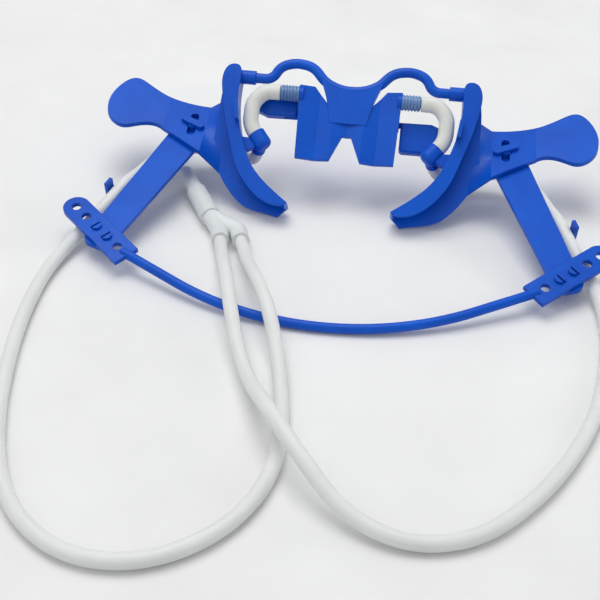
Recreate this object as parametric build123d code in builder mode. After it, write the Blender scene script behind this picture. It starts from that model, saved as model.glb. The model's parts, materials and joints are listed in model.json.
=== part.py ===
from build123d import *
from math import cos, sin, tan, pi, radians
import os

# Cheek retractor with tongue guard and suction. Millimetres, +Z up, standing on a table.
# The origin is where the middle of the spring bow touches the table: +X is the right side,
# +Y runs from the bow back to the lip channels.

# ---- driving dimensions -------------------------------------------------------------------
BOW_TILT = 12.0            # slope of the bow, arms and paddles, rising to the back
LIP_TILT = 42.0            # slope of the plane that the lip channels lie in
CLEAR = 0.25               # running gap between flat faces that slide on each other
FIT = 0.10                 # gap round a peg or a pin

ROD_R = 1.6                # bow rod
BOW_R = 100.0              # radius of its middle stretch
BOW_END_ANGLE = 28.5       # slope of its straight ends
PLATE_X, PLATE_Y = 79.1, 32.7    # middle hole of the end plate, in the bow's plane
PLATE_ANGLE = 42.0
PLATE_W, PLATE_T = 9.2, 1.6
HOLE_COUNT, HOLE_PITCH, HOLE_R = 5, 6.1, 1.65
PLATE_INNER_REACH = 5.4    # from the hole nearest the rod to the plate's square end

ARM_T = 1.5
ARM_FOOT_W, ARM_HEAD_W = 10.2, 13.4
ARM_FOOT_REACH = 5.6       # past the middle between its two pegs
ARM_HEAD_REACH = 7.0       # past the pivot
PEG_R, PEG_SLOT, PEG_HEAD_R, PEG_HEAD_H = HOLE_R - FIT, 0.7, 1.85, 0.8
PIVOT_X, PIVOT_Y = 57.0, 87.8    # pivot peg, in the bow's plane
PIVOT_R = 2.0
T_BAR_L, T_BAR_W, T_BAR_H = 10.0, 2.6, 1.2
T_BAR_ANGLE = 28.0
SLOT_L, SLOT_W = 11.6, 3.0
HOOK_ALONG = 21.5          # of the tube hook, up the arm from the pegs
HOOK_W, HOOK_T = 3.6, 1.2
HOOK_GAP, HOOK_DROP = 5.2, 4.8   # inside width, and inside depth below the arm's top face

PIVOT_PLAY = 0.35          # round the pivot peg, because the closed frame needs it
PADDLE_T = 1.7
PADDLE_ROOT_X, PADDLE_ROOT_Y = 44.5, 83.5
PADDLE_ROOT_W = 28.5
PADDLE_LOW = [(52.0, 73.4), (60.0, 79.2), (68.0, 84.7)]      # front edge, from the lip channel
PADDLE_HIGH = [(52.0, 97.8), (60.0, 98.9), (68.0, 101.6)]    # back edge
BLEND_X, CREASE_X = PADDLE_LOW[0][0], PADDLE_LOW[-1][0]
PAD_RIM = [(67.7, 84.6), (72.8, 86.0), (77.4, 84.2), (82.2, 82.0), (87.3, 84.8), (89.9, 92.6),
           (88.2, 102.0), (82.6, 108.6), (77.4, 106.4), (72.4, 103.4), (67.7, 101.5)]
PAD_LIFT = 9.0             # the thumb pad turns up by this angle at its crease

FLANGE_T, WEB_T = 1.5, 1.5
CHANNEL_H = 8.5            # over both flanges

SLEEVE_R, SLEEVE_BORE_R = 2.5, 1.9
SLEEVE_IN_X, SLEEVE_OUT_X, SLEEVE_END_X = 35.0, 44.8, 45.6
ARCH_R = SLEEVE_BORE_R - FIT
ARCH_T, ARCH_N = 21.8, 4.25      # along and above the lip plane, of the sleeves and the arch
ARCH_ROUTE = [(40.0, ARCH_T), (29.0, ARCH_T), (26.4, 27.0), (21.0, 28.8), (14.5, 27.8),
              (9.5, 22.0), (3.5, 19.6)]

GUARD_HALF_W, GUARD_TOP, GUARD_BOTTOM = 18.5, 20.0, -7.2
GUARD_T = 1.8
GUARD_FOLDS = [(0.0, 4.0), (5.5, 5.0), (10.8, 3.9), (GUARD_HALF_W, 5.4)]
GUARD_OUTLINE = [(1.6, 2.2), (5.5, GUARD_BOTTOM), (17.6, GUARD_BOTTOM),
                 (GUARD_HALF_W, GUARD_TOP), (13.0, GUARD_TOP), (7.9, 13.9)]
BIB_HALF = [(6.6, 6.8), (7.1, 9.8), (7.9, 13.2), (8.9, 16.8), (10.2, 20.4), (11.7, 23.8),
            (13.6, 26.8), (9.3, 21.9), (3.5, 19.7)]
BIB_N, BIB_T = 3.4, 2.6

EAR_X, EAR_W, EAR_R = 16.4, 1.8, 2.4
EAR_T_POS, EAR_N = 10.2, -0.9    # axis of the bite blocks' hinge pins
HINGE_PIN_R, HINGE_PIN_L = 1.1, 5.0
BLOCK_N = (-3.2, 1.4)
BLOCK_OUTLINE = [(18.8, -0.6), (29.8, -0.8), (35.4, 1.4), (35.2, 3.4), (29.4, 10.4), (18.8, 10.4)]

ELBOW_N = 5.0
NOZZLE_T = 16.8            # height of the nozzles along the lip plane
RIBBED_END_X, NOZZLE_END_X = 25.2, 28.8
BARB_R, BARB_STEM_R, BARB_BORE_R = 2.1, 1.7, 1.0
RIB_R, RIB_GROOVE_R, RIBS = 2.85, 2.45, 6
SEAT_R, SEAT_L = 2.6, 1.6
ELBOW_R, ELBOW_BORE_R = 2.8, BARB_R + 0.06
ELBOW_ROUTE = [(25.4, NOZZLE_T), (30.8, NOZZLE_T), (35.0, 12.4), (35.0, 3.6), (30.6, -1.9)]
CUP_R, CUP_L, CUP_GRIP = 3.3, 6.4, 3.0
BOSS_R, BOSS_L, BOSS_RUN = 2.5, 5.0, 6.0
BOSS_DIR = (0.25, -0.35, -0.90)
BRACKET = [(31.6, -4.6), (34.6, -1.6), (37.8, -1.4), (35.8, -6.8)]
BRACKET_N = (3.8, 6.6)
ELBOW_STOP = [(38.5, 3.4), (39.9, 3.4), (40.7, 9.8), (39.3, 9.8)]
ELBOW_STOP_H = 3.4

TUBE_R, TUBE_BORE_R = 2.2, 1.4
Y_BORE_R = 1.1
Y_TOP, Y_SPLIT = (-52.2, 66.5, 3.9), (-44.0, 51.4, 3.9)
Y_STEM_R, Y_LEG_R, Y_LEG_L = 3.6, 3.0, 7.0
ADAPTOR_R, ADAPTOR_L = 2.9, 14.0

# Suction tubes: each runs from the Y connector over the bow, round its loop on the table,
# through the arm's hook, under the arm and the paddle, and up to the coupler on the retractor.
RIGHT_ROUTE = [(-38.2, 38.0, 3.9), (-35.0, 25.0, 5.4), (-31.6, 12.5, 10.4), (-27.6, -2.5, 10.4),
               (-22.4, -18.0, 5.4), (-16.6, -32.5, 5.6), (-9.5, -47.0, 11.4), (1.0, -62.5, 11.4),
               (14.0, -75.0, 4.2), (30.5, -81.5, 2.2), (48.0, -77.5, 2.2), (62.0, -64.0, 2.2),
               (73.5, -47.0, 2.2), (82.0, -28.0, 2.2), (87.0, -8.0, 2.2), (89.6, 15.0, 2.4)]
LEFT_ROUTE = [(-31.2, 39.0, 3.9), (-27.4, 26.0, 5.4), (-22.4, 13.0, 10.4), (-15.6, -2.5, 10.4),
              (-10.0, -19.0, 4.2), (-6.2, -37.5, 2.2), (-4.4, -55.0, 2.2), (-7.6, -72.0, 2.2),
              (-17.5, -87.0, 2.2), (-33.0, -96.5, 2.2), (-50.5, -97.0, 2.2), (-66.0, -88.0, 2.2),
              (-77.0, -72.0, 2.2), (-84.0, -52.0, 2.2), (-88.6, -31.0, 2.2), (-91.6, -9.0, 2.2),
              (-91.8, 15.0, 2.4)]
TUBE_TAIL = [(86.4, 34.0, 3.6), (79.2, 48.5, 8.8), (76.0, 57.7, 10.7), (72.4, 67.5, 10.0),
             (69.6, 77.5, 9.8), (64.4, 86.2, 9.4), (56.4, 91.6, 7.8), (46.8, 91.8, 7.2),
             (38.2, 87.2, 7.8)]


def lip_place(x, t, n):
    """World position of a point given across, up and above the lip plane."""
    g = radians(LIP_TILT)
    return Vector(x, LIP_Y + t * cos(g) - n * sin(g), LIP_Z + t * sin(g) + n * cos(g))


def bow_place(u, v, w=0.0):
    """World position of a point given across, along and above the bow's plane."""
    b = radians(BOW_TILT)
    return Vector(u, v * cos(b) - w * sin(b), ROD_R + v * sin(b) + w * cos(b))


LIP_Y, LIP_Z = bow_place(0, PADDLE_ROOT_Y).Y, bow_place(0, PADDLE_ROOT_Y).Z


def bow_plane(w=0.0):
    b = radians(BOW_TILT)
    return Plane(origin=bow_place(0, 0, w), x_dir=(1, 0, 0), z_dir=(0, -sin(b), cos(b)))


def lip_plane(n=0.0):
    g = radians(LIP_TILT)
    return Plane(origin=lip_place(0, 0, n), x_dir=(1, 0, 0), z_dir=(0, -sin(g), cos(g)))


def unit(vector):
    return vector * (1 / vector.length)


def route_radii(points):
    """Largest tangent arc at each inner point of a tube's route."""
    radii = []
    for a, b, c in zip(points, points[1:], points[2:]):
        p, q = Vector(*b) - Vector(*a), Vector(*c) - Vector(*b)
        turn = radians(p.get_angle(q))
        radii.append(0.45 * min(p.length, q.length) / tan(turn / 2))
    return radii


# ---- spring bow: one rod with a perforated plate at each end --------------------------------
plate_dir = (cos(radians(PLATE_ANGLE)), sin(radians(PLATE_ANGLE)))
hole_steps = [(i - (HOLE_COUNT - 1) / 2) * HOLE_PITCH for i in range(HOLE_COUNT)]
holes = [(PLATE_X + s * plate_dir[0], PLATE_Y + s * plate_dir[1]) for s in hole_steps]
plate_inner = hole_steps[0] - PLATE_INNER_REACH
plate_outer = hole_steps[-1] + PLATE_W / 2
bend = radians(BOW_END_ANGLE)
bow_knee = (BOW_R * sin(bend), BOW_R * (1 - cos(bend)))
rod_end_x = PLATE_X + (plate_inner + 2.5) * plate_dir[0]
rod_end = (rod_end_x, bow_knee[1] + (rod_end_x - bow_knee[0]) * tan(bend))

with BuildPart() as right_plate:
    with BuildSketch(bow_plane(-PLATE_T / 2)):
        with Locations(Location((PLATE_X, PLATE_Y), PLATE_ANGLE)):
            with Locations(((plate_inner + plate_outer - PLATE_W / 2) / 2, 0)):
                Rectangle(plate_outer - PLATE_W / 2 - plate_inner, PLATE_W)
            with Locations((plate_outer - PLATE_W / 2, 0)):
                Circle(PLATE_W / 2)
    extrude(amount=PLATE_T)
    with BuildSketch(bow_plane(-PLATE_T / 2)):
        with Locations(holes):
            Circle(HOLE_R)
    extrude(amount=PLATE_T, mode=Mode.SUBTRACT)

# the rod's ends are slotted round the plates
with BuildPart() as bow:
    with BuildLine(bow_plane()) as rod_path:
        Line((-rod_end[0], rod_end[1]), (-bow_knee[0], bow_knee[1]))
        ThreePointArc((-bow_knee[0], bow_knee[1]), (0, 0), bow_knee)
        Line(bow_knee, rod_end)
    with BuildSketch(Plane(rod_path.line @ 0, z_dir=rod_path.line % 0)):
        Circle(ROD_R)
    sweep()
    add(right_plate.part, mode=Mode.SUBTRACT)
    add(mirror(right_plate.part, about=Plane.YZ), mode=Mode.SUBTRACT)


# ---- side arms: a flat strap with two snap pegs, a pivot peg and a hook for the tube ---------
peg_mid = ((holes[1][0] + holes[2][0]) / 2, (holes[1][1] + holes[2][1]) / 2)
arm_vec = Vector(PIVOT_X - peg_mid[0], PIVOT_Y - peg_mid[1])
arm_dir = unit(arm_vec)
arm_across = Vector(-arm_dir.Y, arm_dir.X)
arm_top = -PLATE_T / 2
paddle_bottom = arm_top + CLEAR
paddle_top = paddle_bottom + PADDLE_T


def arm_point(along, across):
    p = Vector(*peg_mid) + arm_dir * along + arm_across * across
    return (p.X, p.Y)


def arm_half_width(along):
    return (ARM_FOOT_W + (ARM_HEAD_W - ARM_FOOT_W) * along / arm_vec.length) / 2


with BuildPart() as right_arm:
    foot, head = -ARM_FOOT_REACH, arm_vec.length + ARM_HEAD_REACH
    with BuildSketch(bow_plane(arm_top - ARM_T)) as strap:
        with BuildLine():
            Polyline(
                arm_point(foot, -arm_half_width(foot)), arm_point(head, -arm_half_width(head)),
                arm_point(head, arm_half_width(head)), arm_point(foot, arm_half_width(foot)),
                close=True,
            )
        make_face()
        fillet(strap.vertices(), radius=3.6)
    extrude(amount=ARM_T)
    with BuildSketch(bow_plane(arm_top)):
        with Locations(holes[1], holes[2]):
            Circle(PEG_R)
    extrude(amount=PLATE_T + 0.1)
    with BuildSketch(bow_plane(PLATE_T / 2 + 0.1)):
        with Locations(holes[1], holes[2]):
            Circle(PEG_HEAD_R)
    extrude(amount=PEG_HEAD_H)
    with BuildSketch(bow_plane(arm_top)):
        for x, y in (holes[1], holes[2]):
            with Locations(Location((x, y), PLATE_ANGLE + 90)):
                Rectangle(2 * PEG_HEAD_R + 1, PEG_SLOT)
    extrude(amount=PLATE_T + PEG_HEAD_H + 1, mode=Mode.SUBTRACT)
    with BuildSketch(bow_plane(arm_top)):
        with Locations((PIVOT_X, PIVOT_Y)):
            Circle(PIVOT_R)
    extrude(amount=2 * CLEAR + PADDLE_T)
    with BuildSketch(bow_plane(paddle_top + CLEAR)):
        with Locations(Location((PIVOT_X, PIVOT_Y), T_BAR_ANGLE)):
            SlotOverall(T_BAR_L, T_BAR_W)
    extrude(amount=T_BAR_H)
    hook_root = arm_point(HOOK_ALONG, -arm_half_width(HOOK_ALONG))
    hook_plane = Plane(
        origin=bow_place(*hook_root),
        x_dir=bow_place(*arm_point(0, -1)) - bow_place(*arm_point(0, 0)),
        z_dir=bow_place(*arm_point(0, 0)) - bow_place(*arm_point(1, 0)),
    )
    with BuildSketch(hook_plane):
        with BuildLine():
            inner, outer = -HOOK_T, HOOK_GAP + HOOK_T
            floor_w = arm_top - HOOK_DROP
            Polyline(
                (inner - 0.8, arm_top - 0.1), (0, arm_top - 0.1), (0, floor_w), (HOOK_GAP, floor_w),
                (HOOK_GAP, arm_top + 1.4), (outer, arm_top + 1.4), (outer, floor_w - HOOK_T),
                (inner, floor_w - HOOK_T), (inner, arm_top - ARM_T + 0.1),
                (inner - 0.8, arm_top - ARM_T + 0.1),
                close=True,
            )
        make_face()
    extrude(amount=HOOK_W / 2, both=True)
right_arm.part.label = "right_arm"


# ---- cheek retractors: paddle, lip channel, arch sleeve and coupler bracket ------------------
web_line = [(39.9, 21.0), (39.6, 9.0), (36.4, -3.5), (31.6, -13.0), (25.2, -19.4), (18.2, -24.6)]
near_rim = [(45.9, 14.0), (44.0, 5.5), (41.0, -4.0), (37.6, -13.2), (32.6, -20.2), (26.6, -24.8)]
far_rim = [(47.5, 6.0), (47.8, -4.0), (45.4, -12.6), (40.8, -19.6), (34.6, -25.2), (27.4, -27.2)]
lobe_top = [(42.0, 25.0), (44.8, 24.2), (46.4, 20.8)]


def beside(points, distance):
    """The same line of points moved sideways, to its left."""
    moved = []
    for i, point in enumerate(points):
        before, after = Vector(*points[max(i - 1, 0)]), Vector(*points[min(i + 1, len(points) - 1)])
        step = unit(after - before)
        moved.append((point[0] - step.Y * distance, point[1] + step.X * distance))
    return moved


def flange_outline(rim):
    """Closed outline between the web's line and a flange's rim, round at the lobe."""
    web = Spline(*web_line)
    tip = Line(web_line[-1], (rim[-1][0] - 5.6, rim[-1][1] - 1.2))
    edge = Spline((rim[-1][0] - 5.6, rim[-1][1] - 1.2), *reversed(rim), *reversed(lobe_top))
    Spline(edge @ 1, web_line[0], tangents=(edge % 1, web % 0))
    return tip


with BuildPart() as lip_blank:
    with BuildSketch(lip_plane()):
        with BuildLine():
            flange_outline(far_rim)
        make_face()
    extrude(amount=FLANGE_T)
    with BuildSketch(lip_plane(CHANNEL_H - FLANGE_T)):
        with BuildLine():
            flange_outline(near_rim)
        make_face()
    extrude(amount=FLANGE_T)
    with BuildSketch(lip_plane()):
        with BuildLine():
            inside = Spline(*web_line)
            outside = Spline(*beside(web_line, WEB_T))
            Line(inside @ 0, outside @ 0)
            Line(inside @ 1, outside @ 1)
        make_face()
    extrude(amount=CHANNEL_H)


def paddle_section(x, place, low, high, bottom, top):
    """Cross-section of the paddle on a plane of constant X."""
    corners = [place(x, *c) for c in ((low, bottom), (high, bottom), (high, top), (low, top))]
    with BuildSketch(Plane.YZ.offset(x)) as section:
        with BuildLine():
            Polyline(*[(c.Y, c.Z) for c in corners], close=True)
        make_face()
    return section.sketch


lift = radians(PAD_LIFT)
pad_plane = Plane(
    origin=bow_place(CREASE_X, 0, paddle_bottom),
    x_dir=Vector(cos(lift), 0, 0) + bow_plane().z_dir * sin(lift),
    z_dir=bow_plane().z_dir * cos(lift) - Vector(sin(lift), 0, 0),
)
cup_run = Vector(*ELBOW_ROUTE[-1]) - Vector(*ELBOW_ROUTE[-2])
cup_dir = unit(cup_run)
cup_mouth = Vector(*ELBOW_ROUTE[-1]) - cup_dir * CUP_GRIP
cup_plane = Plane(
    origin=lip_place(cup_mouth.X, cup_mouth.Y, ELBOW_N),
    x_dir=lip_place(*BOSS_DIR) - lip_place(0, 0, 0),
    z_dir=lip_place(cup_dir.X, cup_dir.Y, 0) - lip_place(0, 0, 0),
)

with BuildPart() as right_retractor:
    add(lip_blank.part)
    sections = [
        paddle_section(PADDLE_ROOT_X, lip_place, -PADDLE_ROOT_W / 2, PADDLE_ROOT_W / 2, 0.1, FLANGE_T - 0.1),
        paddle_section(BLEND_X, bow_place, PADDLE_LOW[0][1], PADDLE_HIGH[0][1], paddle_bottom, paddle_top),
    ]
    loft(sections, ruled=True)
    with BuildSketch(bow_plane(paddle_bottom)):
        with BuildLine():
            low = Spline(*PADDLE_LOW)
            high = Spline(*PADDLE_HIGH)
            Line(low @ 0, high @ 0)
            Line(low @ 1, high @ 1)
        make_face()
    extrude(amount=PADDLE_T)
    with BuildSketch(pad_plane):
        with BuildLine():
            rim = Spline(*[(x - CREASE_X, y) for x, y in PAD_RIM])
            Line(rim @ 1, rim @ 0)
        make_face()
    extrude(amount=PADDLE_T)
    with BuildSketch(bow_plane(paddle_bottom - 1)):
        with Locations((PIVOT_X, PIVOT_Y)):
            Circle(PIVOT_R + PIVOT_PLAY)
        with Locations(Location((PIVOT_X, PIVOT_Y), 90)):
            SlotOverall(SLOT_L, SLOT_W)
    extrude(amount=PADDLE_T + 2, mode=Mode.SUBTRACT)
    with BuildSketch(Plane(lip_place(SLEEVE_IN_X, ARCH_T, ARCH_N), z_dir=(1, 0, 0))):
        Circle(SLEEVE_R)
    extrude(amount=SLEEVE_END_X - SLEEVE_IN_X)
    with BuildSketch(Plane(lip_place(SLEEVE_IN_X, ARCH_T, ARCH_N), z_dir=(1, 0, 0))):
        Circle(SLEEVE_BORE_R)
    extrude(amount=SLEEVE_OUT_X - SLEEVE_IN_X, mode=Mode.SUBTRACT)
    with BuildSketch(lip_plane(BRACKET_N[0])):
        with BuildLine():
            Polyline(*BRACKET, close=True)
        make_face()
    extrude(amount=BRACKET_N[1] - BRACKET_N[0])
    with BuildSketch(lip_plane(CHANNEL_H - FLANGE_T)):
        with BuildLine():
            Polyline(*ELBOW_STOP, close=True)
        make_face()
    extrude(amount=FLANGE_T + ELBOW_STOP_H)
    with BuildSketch(cup_plane):
        Circle(CUP_R)
    extrude(amount=CUP_L, mode=Mode.SUBTRACT)
right_retractor.part.label = "right_retractor"


# ---- couplers: a blind cup that grips the elbow's end, with a boss for the suction tube ------
boss_start = cup_mouth + cup_dir * (CUP_L * 0.55)
boss_plane = Plane(
    origin=lip_place(boss_start.X, boss_start.Y, ELBOW_N),
    x_dir=cup_plane.z_dir,
    z_dir=lip_place(*BOSS_DIR) - lip_place(0, 0, 0),
)
boss_end = boss_plane.origin + boss_plane.z_dir * BOSS_L

with BuildPart() as right_coupler:
    with BuildSketch(cup_plane):
        Circle(CUP_R)
    extrude(amount=CUP_L)
    fillet(right_coupler.faces().sort_by(Axis(cup_plane.origin, cup_plane.z_dir))[-1].edges(), 2.0)
    with BuildSketch(boss_plane):
        Circle(BOSS_R)
    extrude(amount=BOSS_L)
    with BuildSketch(cup_plane):
        Circle(ELBOW_R + 0.05)
    extrude(amount=CUP_GRIP + 0.3, mode=Mode.SUBTRACT)
    with BuildSketch(boss_plane):
        Circle(TUBE_BORE_R)
    extrude(amount=BOSS_L, mode=Mode.SUBTRACT)
right_coupler.part.label = "right_coupler"


# ---- tongue guard: folded shield, bib and the arch that holds it in the sleeves --------------
def shield_band(points, thickness):
    """Closed outline of a folded sheet from the middle line of its right half."""
    right = [(x, n + thickness / 2) for x, n in points]
    under = [(x, n - thickness / 2) for x, n in points]
    left = [(-x, n) for x, n in reversed(right[1:])]
    left_under = [(-x, n) for x, n in under[1:]]
    return left + right + list(reversed(under)) + left_under


with BuildPart() as tongue_guard:
    with BuildSketch(Plane(lip_place(0, GUARD_BOTTOM, 0), x_dir=(1, 0, 0), z_dir=-lip_plane().y_dir)):
        with BuildLine():
            Polyline(*[(x, n) for x, n in shield_band(GUARD_FOLDS, GUARD_T)], close=True)
        make_face()
    extrude(amount=GUARD_BOTTOM - GUARD_TOP)
    with BuildSketch(lip_plane(-5)):
        with BuildLine():
            half = GUARD_OUTLINE
            Polyline(*half, *[(-x, t) for x, t in reversed(half)], close=True)
        make_face()
    extrude(amount=25, mode=Mode.INTERSECT)
    with BuildSketch(lip_plane(BIB_N)):
        with BuildLine():
            Polyline(*BIB_HALF, *[(-x, t) for x, t in reversed(BIB_HALF)], close=True)
        make_face()
    extrude(amount=BIB_T)
    with BuildLine():
        arch = [lip_place(x, t, ARCH_N) for x, t in ARCH_ROUTE]
        arch += [lip_place(-x, t, ARCH_N) for x, t in reversed(ARCH_ROUTE)]
        arch_wire = FilletPolyline(*arch, radius=route_radii(arch))
    with BuildSketch(Plane(arch_wire @ 0, z_dir=arch_wire % 0)):
        Circle(ARCH_R)
    sweep(path=arch_wire)
    for side in (1, -1):
        ear = Plane(lip_place(side * EAR_X, EAR_T_POS, EAR_N), z_dir=(side, 0, 0))
        with BuildSketch(ear):
            Circle(EAR_R)
        extrude(amount=EAR_W)
        with BuildSketch(lip_plane(EAR_N)):
            with Locations((side * (EAR_X + EAR_W / 2), EAR_T_POS)):
                Rectangle(EAR_W, 2 * EAR_R)
        extrude(amount=GUARD_FOLDS[-1][1] - EAR_N)
        with BuildSketch(ear):
            Circle(HINGE_PIN_R)
        extrude(amount=EAR_W + HINGE_PIN_L)
        seat = Plane(lip_place(side * GUARD_HALF_W, NOZZLE_T, ELBOW_N), z_dir=(-side, 0, 0))
        with BuildSketch(seat):
            Circle(SEAT_R)
        extrude(amount=SEAT_L)
        with BuildSketch(seat):
            Circle(BARB_STEM_R)
        extrude(amount=SEAT_L - 0.3, mode=Mode.SUBTRACT)
tongue_guard.part.label = "tongue_guard"


# ---- bite blocks: swing on the guard's pins --------------------------------------------------
def bite_block(side, flip):
    """A block on one side of the guard; flip is -1 hanging down and +1 turned up."""
    with BuildPart() as block:
        with BuildSketch(lip_plane(BLOCK_N[0])) as outline:
            with BuildLine():
                Polyline(*[(side * x, EAR_T_POS + flip * t) for x, t in BLOCK_OUTLINE], close=True)
            make_face()
            fillet(outline.vertices(), radius=1.4)
        extrude(amount=BLOCK_N[1] - BLOCK_N[0])
        rims = block.faces().filter_by(Axis(lip_place(0, 0, 0), lip_plane().z_dir)).edges()
        fillet(rims, radius=0.9)
        bore = Plane(lip_place(side * (EAR_X + EAR_W), EAR_T_POS, EAR_N), z_dir=(side, 0, 0))
        with BuildSketch(bore):
            Circle(HINGE_PIN_R + FIT)
        extrude(amount=HINGE_PIN_L + 0.5, mode=Mode.SUBTRACT)
    return block.part


# ---- barbed suction nozzles and the soft elbows pushed over them ----------------------------
with BuildPart() as right_nozzle:
    with BuildSketch(Plane(lip_place(0, NOZZLE_T, ELBOW_N), x_dir=(1, 0, 0), z_dir=-lip_plane().y_dir)):
        with BuildLine():
            start = GUARD_HALF_W - SEAT_L + 0.4
            points = [(start, 0), (start, BARB_STEM_R), (GUARD_HALF_W, BARB_STEM_R)]
            pitch = (RIBBED_END_X - GUARD_HALF_W) / RIBS
            for i in range(RIBS):
                x = GUARD_HALF_W + i * pitch
                points += [(x, RIB_R), (x + pitch * 0.6, RIB_R)]
                points += [(x + pitch * 0.6, RIB_GROOVE_R), (x + pitch, RIB_GROOVE_R)]
            points += [(RIBBED_END_X, BARB_STEM_R), (NOZZLE_END_X - 1.4, BARB_STEM_R)]
            points += [(NOZZLE_END_X - 1.4, BARB_R), (NOZZLE_END_X, BARB_STEM_R), (NOZZLE_END_X, 0)]
            Polyline(*points, close=True)
        make_face()
    revolve(axis=Axis(lip_place(0, NOZZLE_T, ELBOW_N), (1, 0, 0)))
    with BuildSketch(Plane(lip_place(start, NOZZLE_T, ELBOW_N), z_dir=(1, 0, 0))):
        Circle(BARB_BORE_R)
    extrude(amount=NOZZLE_END_X, mode=Mode.SUBTRACT)
right_nozzle.part.label = "right_nozzle"

with BuildPart() as right_elbow:
    with BuildLine():
        elbow = [lip_place(x, t, ELBOW_N) for x, t in ELBOW_ROUTE]
        elbow_wire = FilletPolyline(*elbow, radius=route_radii(elbow))
    with BuildSketch(Plane(elbow_wire @ 0, z_dir=elbow_wire % 0)):
        Circle(ELBOW_R)
        Circle(ELBOW_BORE_R, mode=Mode.SUBTRACT)
    sweep(path=elbow_wire)
right_elbow.part.label = "right_elbow"


# ---- suction tubes, their Y connector and the adaptor on it ---------------------------------
y_axis = unit(Vector(*Y_SPLIT) - Vector(*Y_TOP))
y_end = Vector(*Y_SPLIT)
leg_starts = {"left": Vector(*LEFT_ROUTE[0]), "right": Vector(*RIGHT_ROUTE[0])}

with BuildPart() as y_connector:
    with BuildSketch(Plane(Vector(*Y_TOP), z_dir=y_axis)):
        Circle(Y_STEM_R)
    extrude(amount=(y_end - Vector(*Y_TOP)).length)
    for side, start in leg_starts.items():
        route = {"left": LEFT_ROUTE, "right": RIGHT_ROUTE}[side]
        out = unit(Vector(*route[1]) - Vector(*route[0]))
        with BuildLine():
            leg = FilletPolyline(start, start - out * Y_LEG_L, y_end, y_end - y_axis * 5, radius=4)
        with BuildSketch(Plane(leg @ 0, z_dir=leg % 0)):
            Circle(Y_LEG_R)
        sweep(path=leg)
    with BuildSketch(Plane(Vector(*Y_TOP), z_dir=y_axis)):
        Circle(Y_BORE_R)
    extrude(amount=10, mode=Mode.SUBTRACT)
y_connector.part.label = "y_connector"

with BuildPart() as suction_adaptor:
    with BuildSketch(Plane(Vector(*Y_TOP), z_dir=y_axis * -1)):
        Circle(ADAPTOR_R)
        Circle(TUBE_BORE_R, mode=Mode.SUBTRACT)
    extrude(amount=ADAPTOR_L)
suction_adaptor.part.label = "suction_adaptor"


def suction_tube(name, route):
    """Plain solid tube along straight runs joined by the largest tangent arcs."""
    points = [Vector(*p) for p in route]
    radii = route_radii(points)
    with BuildPart() as tube:
        with BuildLine():
            wire = FilletPolyline(*points, radius=radii)
        with BuildSketch(Plane(wire @ 0, z_dir=wire % 0)):
            Circle(TUBE_R)
        sweep(path=wire)
    length = sum(e.length for e in wire.edges())
    expected = length * pi * TUBE_R**2
    print(name, "length", round(length), "radii", [round(r) for r in radii],
          "volume", round(tube.part.volume), "expected", round(expected))
    return tube.part


# ---- write every piece -----------------------------------------------------------------------
pieces = {"bow": bow.part, "tongue_guard": tongue_guard.part,
          "y_connector": y_connector.part, "suction_adaptor": suction_adaptor.part}
mirrored = {"bow_plate": right_plate, "arm": right_arm, "retractor": right_retractor, "coupler": right_coupler,
            "nozzle": right_nozzle, "elbow_tube": right_elbow}
for name, builder in mirrored.items():
    pieces["right_" + name] = builder.part
    pieces["left_" + name] = mirror(builder.part, about=Plane.YZ)
pieces["right_bite_block"] = bite_block(1, -1)
pieces["left_bite_block"] = bite_block(-1, 1)

right_tail = [*TUBE_TAIL, tuple(boss_end + boss_plane.z_dir * BOSS_RUN), tuple(boss_end)]
left_tail = [(-x, y, z) for x, y, z in right_tail]
pieces["right_suction_tube"] = suction_tube("right_suction_tube", RIGHT_ROUTE + right_tail)
pieces["left_suction_tube"] = suction_tube("left_suction_tube", LEFT_ROUTE + left_tail)

os.makedirs("parts", exist_ok=True)
for name, piece in pieces.items():
    piece.label = name
    export_step(piece, f"parts/{name}.step")
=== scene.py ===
import json

import bmesh
import bpy
from math import cos, pi, radians, sin
from mathutils import Matrix, Vector


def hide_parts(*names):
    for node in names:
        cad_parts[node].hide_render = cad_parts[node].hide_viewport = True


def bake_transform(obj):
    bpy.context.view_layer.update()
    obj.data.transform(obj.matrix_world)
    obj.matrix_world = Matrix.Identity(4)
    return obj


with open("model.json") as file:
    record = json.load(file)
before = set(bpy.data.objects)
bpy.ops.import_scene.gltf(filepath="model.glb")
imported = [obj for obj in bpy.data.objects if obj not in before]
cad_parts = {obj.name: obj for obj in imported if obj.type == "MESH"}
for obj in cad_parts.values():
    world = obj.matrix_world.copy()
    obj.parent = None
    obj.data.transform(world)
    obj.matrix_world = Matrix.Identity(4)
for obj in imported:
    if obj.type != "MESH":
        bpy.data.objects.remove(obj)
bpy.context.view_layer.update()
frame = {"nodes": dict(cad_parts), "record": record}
nodes = frame["nodes"]

# ---- measures shared with the CAD, in metres -----------------------------------------------
MM = 0.001
TUBE_R, TUBE_BORE_R = 2.2 * MM, 1.4 * MM
TUBE_SIDES = 24
FLOOR_HALF, FLOOR_DROP = 3.0, 0.2 * MM

CAMERA_PLACE = (0.0204, -0.2497, 0.2082)
CAMERA_RIGHT, CAMERA_UP = (0.9916, 0.1266, 0.0269), (-0.0991, 0.6094, 0.7867)
CAMERA_BACK = (0.0832, -0.7827, 0.6168)
CAMERA_LENS, CAMERA_SENSOR, CAMERA_CLIP = 62.77, 36.0, 0.01

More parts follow.
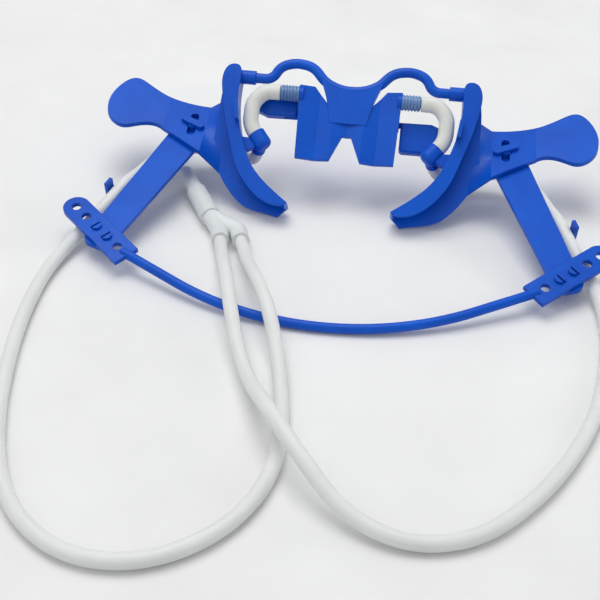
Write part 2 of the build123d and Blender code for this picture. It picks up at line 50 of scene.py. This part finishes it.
RIGHT_ROUTE = [(-38.2, 38.0, 3.9), (-35.0, 25.0, 5.4), (-31.6, 12.5, 10.4), (-27.6, -2.5, 10.4),
               (-22.4, -18.0, 5.4), (-16.6, -32.5, 5.6), (-9.5, -47.0, 11.4), (1.0, -62.5, 11.4),
               (14.0, -75.0, 4.2), (30.5, -81.5, 2.2), (48.0, -77.5, 2.2), (62.0, -64.0, 2.2),
               (73.5, -47.0, 2.2), (82.0, -28.0, 2.2), (87.0, -8.0, 2.2), (89.6, 15.0, 2.4)]
LEFT_ROUTE = [(-31.2, 39.0, 3.9), (-27.4, 26.0, 5.4), (-22.4, 13.0, 10.4), (-15.6, -2.5, 10.4),
              (-10.0, -19.0, 4.2), (-6.2, -37.5, 2.2), (-4.4, -55.0, 2.2), (-7.6, -72.0, 2.2),
              (-17.5, -87.0, 2.2), (-33.0, -96.5, 2.2), (-50.5, -97.0, 2.2), (-66.0, -88.0, 2.2),
              (-77.0, -72.0, 2.2), (-84.0, -52.0, 2.2), (-88.6, -31.0, 2.2), (-91.6, -9.0, 2.2),
              (-91.8, 15.0, 2.4)]
TUBE_TAIL = [(86.4, 34.0, 3.6), (79.2, 48.5, 8.8), (76.0, 57.7, 10.7), (72.4, 67.5, 10.0),
             (69.6, 77.5, 9.8), (64.4, 86.2, 9.4), (56.4, 91.6, 7.8), (46.8, 91.8, 7.2),
             (38.2, 87.2, 7.8), (33.03, 80.39, 11.18), (31.53, 78.33, 16.61)]
LEFT_TAIL = [(-x, y, z) for x, y, z in TUBE_TAIL]


def metres(points):
    return [Vector(p) * MM for p in points]


# ---- materials -----------------------------------------------------------------------------
def shader(name):
    """A new node material, its tree, its Principled shader and object coordinates."""
    material = bpy.data.materials.new(name)
    material.use_nodes = True
    tree = material.node_tree
    principled = tree.nodes["Principled BSDF"]
    coords = tree.nodes.new("ShaderNodeTexCoord")
    return material, tree, principled, coords.outputs["Object"]


def noise(tree, coords, scale, detail=4.0, roughness=0.55):
    node = tree.nodes.new("ShaderNodeTexNoise")
    node.inputs["Scale"].default_value = scale
    node.inputs["Detail"].default_value = detail
    node.inputs["Roughness"].default_value = roughness
    tree.links.new(coords, node.inputs["Vector"])
    return node.outputs["Fac"]


def ramp(tree, value, stops):
    """A colour that follows a value through stops of (position, colour)."""
    node = tree.nodes.new("ShaderNodeValToRGB")
    node.color_ramp.elements[0].position, node.color_ramp.elements[0].color = stops[0]
    node.color_ramp.elements[1].position, node.color_ramp.elements[1].color = stops[-1]
    for position, colour in stops[1:-1]:
        node.color_ramp.elements.new(position).color = colour
    tree.links.new(value, node.inputs["Fac"])
    return node.outputs["Color"]


def spread(tree, value, low, high):
    """The middle of a noise, 0.3 to 0.7, stretched over low to high."""
    node = tree.nodes.new("ShaderNodeMapRange")
    node.inputs["From Min"].default_value = 0.3
    node.inputs["From Max"].default_value = 0.7
    node.inputs["To Min"].default_value = low
    node.inputs["To Max"].default_value = high
    tree.links.new(value, node.inputs["Value"])
    return node.outputs["Result"]


def relief(tree, principled, height, strength, distance, edge=0.0):
    """Fine relief on the surface, over edges rounded by edge."""
    bump = tree.nodes.new("ShaderNodeBump")
    bump.inputs["Strength"].default_value = strength
    bump.inputs["Distance"].default_value = distance
    tree.links.new(height, bump.inputs["Height"])
    if edge:
        bevel = tree.nodes.new("ShaderNodeBevel")
        bevel.samples = 6
        bevel.inputs["Radius"].default_value = edge
        tree.links.new(bevel.outputs["Normal"], bump.inputs["Normal"])
    tree.links.new(bump.outputs["Normal"], principled.inputs["Normal"])


def moulded(name, deep, bright, rough, edge, transmission=0.0, subsurface=0.0):
    """Moulded plastic: faint clouds of colour, scuffs, a slight orange peel and rounded edges."""
    material, tree, principled, coords = shader(name)
    clouds = noise(tree, coords, 55.0, 5.0)
    tree.links.new(ramp(tree, clouds, [(0.3, deep), (0.72, bright)]), principled.inputs["Base Color"])
    scuffs = noise(tree, coords, 420.0, 6.0, 0.7)
    tree.links.new(spread(tree, scuffs, rough * 0.8, rough * 1.3), principled.inputs["Roughness"])
    peel = noise(tree, coords, 260.0, 3.0)
    relief(tree, principled, peel, 0.12, 0.0004, edge)
    principled.inputs["IOR"].default_value = 1.5
    principled.inputs["Specular IOR Level"].default_value = 0.2
    principled.inputs["Coat Weight"].default_value = 0.05
    principled.inputs["Coat Roughness"].default_value = 0.12
    principled.inputs["Transmission Weight"].default_value = transmission
    if subsurface:
        principled.inputs["Subsurface Weight"].default_value = subsurface
        principled.inputs["Subsurface Radius"].default_value = (0.002, 0.0022, 0.0025)
        principled.inputs["Subsurface Scale"].default_value = 1.0
    return material


def soft_clear(name, tint, rough, transmission):
    """Milky plastic that lets some light through, with a slight haze and fine relief."""
    material, tree, principled, coords = shader(name)
    haze = noise(tree, coords, 90.0, 4.0)
    pale = tuple(min(1.0, c * 1.06) for c in tint[:3]) + (1.0,)
    tree.links.new(ramp(tree, haze, [(0.25, tint), (0.75, pale)]), principled.inputs["Base Color"])
    tree.links.new(spread(tree, haze, rough * 0.7, rough * 1.4), principled.inputs["Roughness"])
    relief(tree, principled, noise(tree, coords, 380.0, 3.0), 0.02, 0.0001)
    principled.inputs["IOR"].default_value = 1.42
    principled.inputs["Transmission Weight"].default_value = transmission
    return material


blue = moulded("blue_plastic", (0.0, 0.072, 0.50, 1), (0.0, 0.100, 0.62, 1), 0.36, 0.0003)
pale_blue = moulded("pale_blue_plastic", (0.10, 0.26, 0.60, 1), (0.28, 0.46, 0.78, 1), 0.25, 0.0001,
                    transmission=0.35)
silicone = moulded("white_silicone", (0.72, 0.74, 0.68, 1), (0.86, 0.87, 0.83, 1), 0.38, 0.0002,
                   subsurface=0.5)
clear = soft_clear("clear_tube", (0.93, 0.945, 0.925, 1), 0.42, 0.28)
frosted = soft_clear("frosted_plastic", (0.92, 0.95, 0.94, 1), 0.40, 0.35)
sleeve = soft_clear("frosted_tube", (0.92, 0.95, 0.94, 1), 0.40, 0.30)
by_slot = {"blue_plastic": blue, "pale_blue_plastic": pale_blue, "white_silicone": silicone,
           "clear_tube": clear, "frosted_plastic": frosted, "frosted_tube": sleeve}
slot_of = {s["node"]: s["material_slot"] for s in frame["record"]["subparts"]}


def paint(obj, slot):
    obj.data.materials.clear()
    obj.data.materials.append(by_slot[slot])
    for polygon in obj.data.polygons:
        polygon.material_index = 0


for name, obj in nodes.items():
    paint(obj, slot_of[name])


# ---- suction tubes: milky hollow tube on a smooth route ------------------------------------
def smooth_line(name, points):
    """Points along one smooth NURBS line that has the route's points as control points."""
    curve = bpy.data.curves.new(name, "CURVE")
    curve.dimensions = "3D"
    curve.resolution_u = 14
    spline = curve.splines.new("NURBS")
    spline.points.add(len(points) - 1)
    for target, point in zip(spline.points, points):
        target.co = (*point, 1.0)
    spline.order_u = 3
    spline.use_endpoint_u = True
    holder = bpy.data.objects.new(name, curve)
    bpy.context.scene.collection.objects.link(holder)
    bpy.context.view_layer.update()
    mesh = bpy.data.meshes.new_from_object(holder)
    line = [v.co.copy() for v in mesh.vertices]
    bpy.data.objects.remove(holder)
    bpy.data.meshes.remove(mesh)
    return line


def rings(bm, line, radius):
    """Rings of vertices round a line, carried along without twist."""
    made = []
    across = None
    for i, point in enumerate(line):
        along = (line[min(i + 1, len(line) - 1)] - line[max(i - 1, 0)]).normalized()
        if across is None:
            across = along.orthogonal().normalized()
        across = (across - along * across.dot(along)).normalized()
        other = along.cross(across)
        turns = [2 * pi * k / TUBE_SIDES for k in range(TUBE_SIDES)]
        made.append([bm.verts.new(point + (across * cos(a) + other * sin(a)) * radius) for a in turns])
    return made


def hollow_tube(name, line, outer, inner):
    """Mesh of a hollow tube with its two cut ends."""
    bm = bmesh.new()
    outside, inside = rings(bm, line, outer), rings(bm, line, inner)
    for shell, flip in ((outside, False), (inside, True)):
        for first, second in zip(shell, shell[1:]):
            for k in range(TUBE_SIDES):
                j = (k + 1) % TUBE_SIDES
                corners = [first[k], first[j], second[j], second[k]]
                bm.faces.new(corners[::-1] if flip else corners)
    for end, flip in ((0, True), (-1, False)):
        for k in range(TUBE_SIDES):
            j = (k + 1) % TUBE_SIDES
            corners = [outside[end][k], outside[end][j], inside[end][j], inside[end][k]]
            bm.faces.new(corners[::-1] if flip else corners)
    bmesh.ops.recalc_face_normals(bm, faces=bm.faces)
    for face in bm.faces:
        face.smooth = True
    mesh = bpy.data.meshes.new(name)
    bm.to_mesh(mesh)
    bm.free()
    obj = bpy.data.objects.new(name, mesh)
    bpy.context.scene.collection.objects.link(obj)
    return obj


right_line = smooth_line("right_line", metres(RIGHT_ROUTE + TUBE_TAIL))
left_line = smooth_line("left_line", metres(LEFT_ROUTE + LEFT_TAIL))
right_tube = hollow_tube("right_clear_tube", right_line, TUBE_R, TUBE_BORE_R)
left_tube = hollow_tube("left_clear_tube", left_line, TUBE_R, TUBE_BORE_R)
for tube, node, moving, start, end in (
    (right_tube, "right_suction_tube", "right_frame", (0.0134, 0.0094, 0), (0.0577, 0.0404, 0)),
    (left_tube, "left_suction_tube", "left_retractor", (-0.033, 0.0798, 0.0120), (-0.033, 0.0804, 0.0162)),
):
    paint(tube, "clear_tube")
    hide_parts(node)
    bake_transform(tube)


# ---- copies of the bow and the white elbows, put in the CAD nodes' places ------------------
def bending_copy(node, name):
    """A copy of a CAD node's mesh in its place; the node itself is hidden."""
    source = nodes[node]
    obj = bpy.data.objects.new(name, source.data.copy())
    bpy.context.scene.collection.objects.link(obj)
    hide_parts(node)
    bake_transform(obj)
    return obj


bending_copy("bow", "spring_bow")
for side, name in ((1, "right"), (-1, "left")):
    bending_copy(f"{name}_elbow_tube", f"{name}_silicone_elbow")


# ---- floor, light and camera ---------------------------------------------------------------
floor_mesh = bpy.data.meshes.new("floor")
corners = [(x * FLOOR_HALF, y * FLOOR_HALF, 0) for x, y in ((-1, -1), (1, -1), (1, 1), (-1, 1))]
floor_mesh.from_pydata(corners, [], [(0, 1, 2, 3)])
floor = bpy.data.objects.new("floor", floor_mesh)
bpy.context.scene.collection.objects.link(floor)
floor.location.z = -FLOOR_DROP
paper, paper_tree, paper_shader, paper_coords = shader("pale_floor")
mottle = noise(paper_tree, paper_coords, 22.0, 5.0)
paper_tree.links.new(
    ramp(paper_tree, mottle, [(0.3, (0.80, 0.795, 0.785, 1)), (0.7, (0.86, 0.855, 0.85, 1))]),
    paper_shader.inputs["Base Color"],
)
paper_shader.inputs["Roughness"].default_value = 0.7
relief(paper_tree, paper_shader, noise(paper_tree, paper_coords, 300.0), 0.05, 0.0005)
floor_mesh.materials.append(paper)


def area_light(name, place, target, size, power, colour=(1, 1, 1)):
    data = bpy.data.lights.new(name, "AREA")
    data.shape = "RECTANGLE"
    data.size, data.size_y = size
    data.energy = power
    data.color = colour
    obj = bpy.data.objects.new(name, data)
    bpy.context.scene.collection.objects.link(obj)
    obj.location = place
    obj.rotation_euler = (Vector(target) - Vector(place)).to_track_quat("-Z", "Y").to_euler()


area_light("key", (-0.15, 0.25, 0.95), (0, 0.02, 0), (0.7, 0.7), 5.4)
area_light("side", (0.75, 0.25, 0.35), (0, 0.02, 0), (0.4, 0.3), 0.9, (0.97, 0.98, 1.0))
area_light("fill", (-0.45, -0.6, 0.7), (0, 0.02, 0), (0.9, 0.9), 1.2)

world = bpy.data.worlds.new("studio")
world.use_nodes = True
world.node_tree.nodes["Background"].inputs["Color"].default_value = (0.96, 0.98, 1.0, 1)
world.node_tree.nodes["Background"].inputs["Strength"].default_value = 0.48
bpy.context.scene.world = world

camera = bpy.data.objects.new("camera", bpy.data.cameras.new("camera"))
bpy.context.scene.collection.objects.link(camera)
turn = Matrix((CAMERA_RIGHT, CAMERA_UP, CAMERA_BACK)).transposed().to_4x4()
camera.matrix_world = Matrix.Translation(CAMERA_PLACE) @ turn
camera.data.sensor_width = CAMERA_SENSOR
camera.data.lens = CAMERA_LENS
camera.data.clip_start = CAMERA_CLIP
bpy.context.scene.camera = camera
bpy.context.scene.view_settings.view_transform = "Standard"
